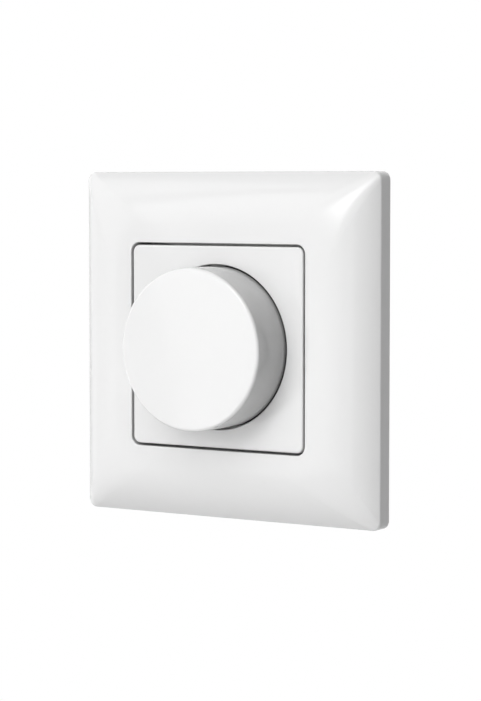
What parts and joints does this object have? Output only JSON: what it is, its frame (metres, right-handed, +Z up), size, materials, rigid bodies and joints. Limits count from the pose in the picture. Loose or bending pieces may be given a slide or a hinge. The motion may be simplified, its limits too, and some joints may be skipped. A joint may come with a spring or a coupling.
{
  "type": "dimmer switch",
  "caption": "Flush wall dimmer with a pillowed square frame, a centre plate and a round push-and-turn knob, on a steel strap with a casing for the wall box.",
  "frame": {"origin": "on the knob axis, in the plane of the wall", "axes": "+Z up, +X to the right seen from the room, -Y out of the wall towards the room"},
  "size_m": [0.086, 0.0481, 0.086],
  "materials": {
    "white_front": "semi-gloss moulding",
    "white_knob": "semi-gloss moulding",
    "strap_steel": "zinc plated sheet",
    "plated_steel": "bright zinc plate",
    "brass": "turned",
    "copper_wire": "enamelled wire",
    "grey_casing": "fine grain",
    "black_moulding": "matt",
    "board_laminate": "laminate",
    "ferrite": "matt",
    "silicone_pad": "matt",
    "capacitor_case": "satin",
    "ceramic": "matt",
    "carbon_track": "matt"
  },
  "bodies": {
    "housing": {"cover_frame": "white_front", "centre_plate": "white_front", "plate_nut": "brass", "mounting_strap": "strap_steel", "strap_screws": "plated_steel", "front_cover": "grey_casing", "rear_housing": "grey_casing", "housing_screws": "plated_steel", "circuit_board": "board_laminate", "pot_bush": "brass", "pot_case": "black_moulding", "pot_track": "carbon_track", "pot_pins": "brass", "switch_case": "black_moulding", "switch_base": "black_moulding", "switch_contacts": "brass", "return_spring": "plated_steel", "triac": "black_moulding", "triac_pad": "silicone_pad", "triac_rivet": "plated_steel", "choke_core": "ferrite", "choke_winding": "copper_wire", "film_capacitor": "capacitor_case", "timing_capacitor": "capacitor_case", "trigger_diode": "ceramic", "fuse_tube": "ceramic", "fuse_caps": "brass", "terminal_block": "black_moulding", "terminal_cages": "brass", "clamp_screws": "plated_steel"},
    "rotor": {"pot_rotor": "black_moulding", "pot_wiper": "brass"},
    "knob": {"knob": "white_knob", "knob_clip": "plated_steel", "control_shaft": "plated_steel"},
    "plunger": {"switch_plunger": "black_moulding", "switch_bridge": "brass"}
  },
  "joints": [
    {"name": "knob_turn", "type": "hinge", "parent": "housing", "child": "rotor", "pos_m": [0, 0, 0], "axis": [0, 1, 0], "range_deg": [-135, 135]},
    {"name": "knob_push", "type": "slide", "parent": "rotor", "child": "knob", "axis": [0, 1, 0], "range_m": [0, 0.0012], "stiffness_N_per_m": 1500, "springref_m": -0.001, "deforming": ["return_spring"]},
    {"name": "switch_press", "type": "slide", "parent": "housing", "child": "plunger", "axis": [0, 1, 0], "range_m": [0, 0.0012]}
  ],
  "couplings": [
    {"joint": "switch_press", "follows": "knob_push", "ratio": 1}
  ]
}
